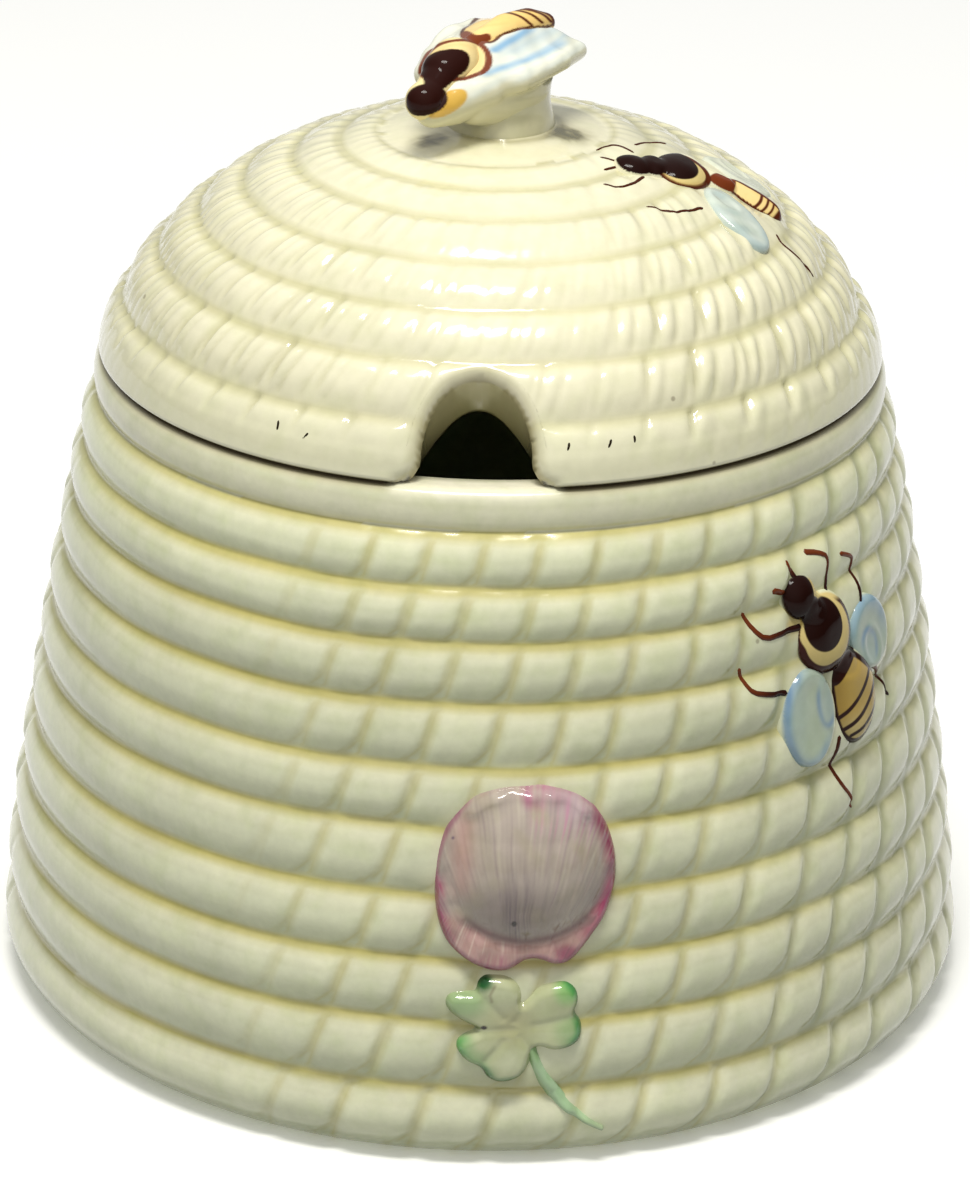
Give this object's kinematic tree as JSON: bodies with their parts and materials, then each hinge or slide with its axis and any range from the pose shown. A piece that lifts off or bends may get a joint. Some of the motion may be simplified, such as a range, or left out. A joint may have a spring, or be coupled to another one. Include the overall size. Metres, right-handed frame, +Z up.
{
  "type": "beehive honey pot with loose lid",
  "caption": "Glazed earthenware beehive honey pot with coiled walls, a loose domed lid with a spoon notch and a bee knob, and relief bees and a clover.",
  "frame": {"origin": "centre of the foot, on the table", "axes": "+Z up along the pot's axis; the spoon notch and the clover face -Y; +X to the right seen from the front"},
  "size_m": [0.1116, 0.1124, 0.1121],
  "materials": {
    "cream_glaze": "glossy ivory glaze, pooled ochre in the valleys",
    "lid_glaze": "glossy warm ivory glaze",
    "bee_paint": "glossy brown and yellow underglaze paint",
    "wing_paint": "glossy pale blue wash",
    "clover_pink": "glossy streaked mauve wash",
    "clover_green": "glossy green wash over cream"
  },
  "bodies": {
    "pot": {"pot_body": "cream_glaze", "pot_bee_body": "bee_paint", "pot_bee_wing_left": "wing_paint", "pot_bee_wing_right": "wing_paint", "clover_flower": "clover_pink", "clover_leaf": "clover_green", "clover_stem": "clover_green"},
    "lid": {"lid_shell": "lid_glaze", "knob_stem": "lid_glaze", "knob_bee_base": "lid_glaze", "knob_bee_body": "bee_paint", "lid_bee_body": "bee_paint", "lid_bee_wing_upper": "wing_paint", "lid_bee_wing_lower": "wing_paint"}
  },
  "joints": [
    {"name": "lid_lift", "type": "slide", "parent": "pot", "child": "lid", "axis": [0, 0, 1], "range_m": [0, 0.07]}
  ]
}
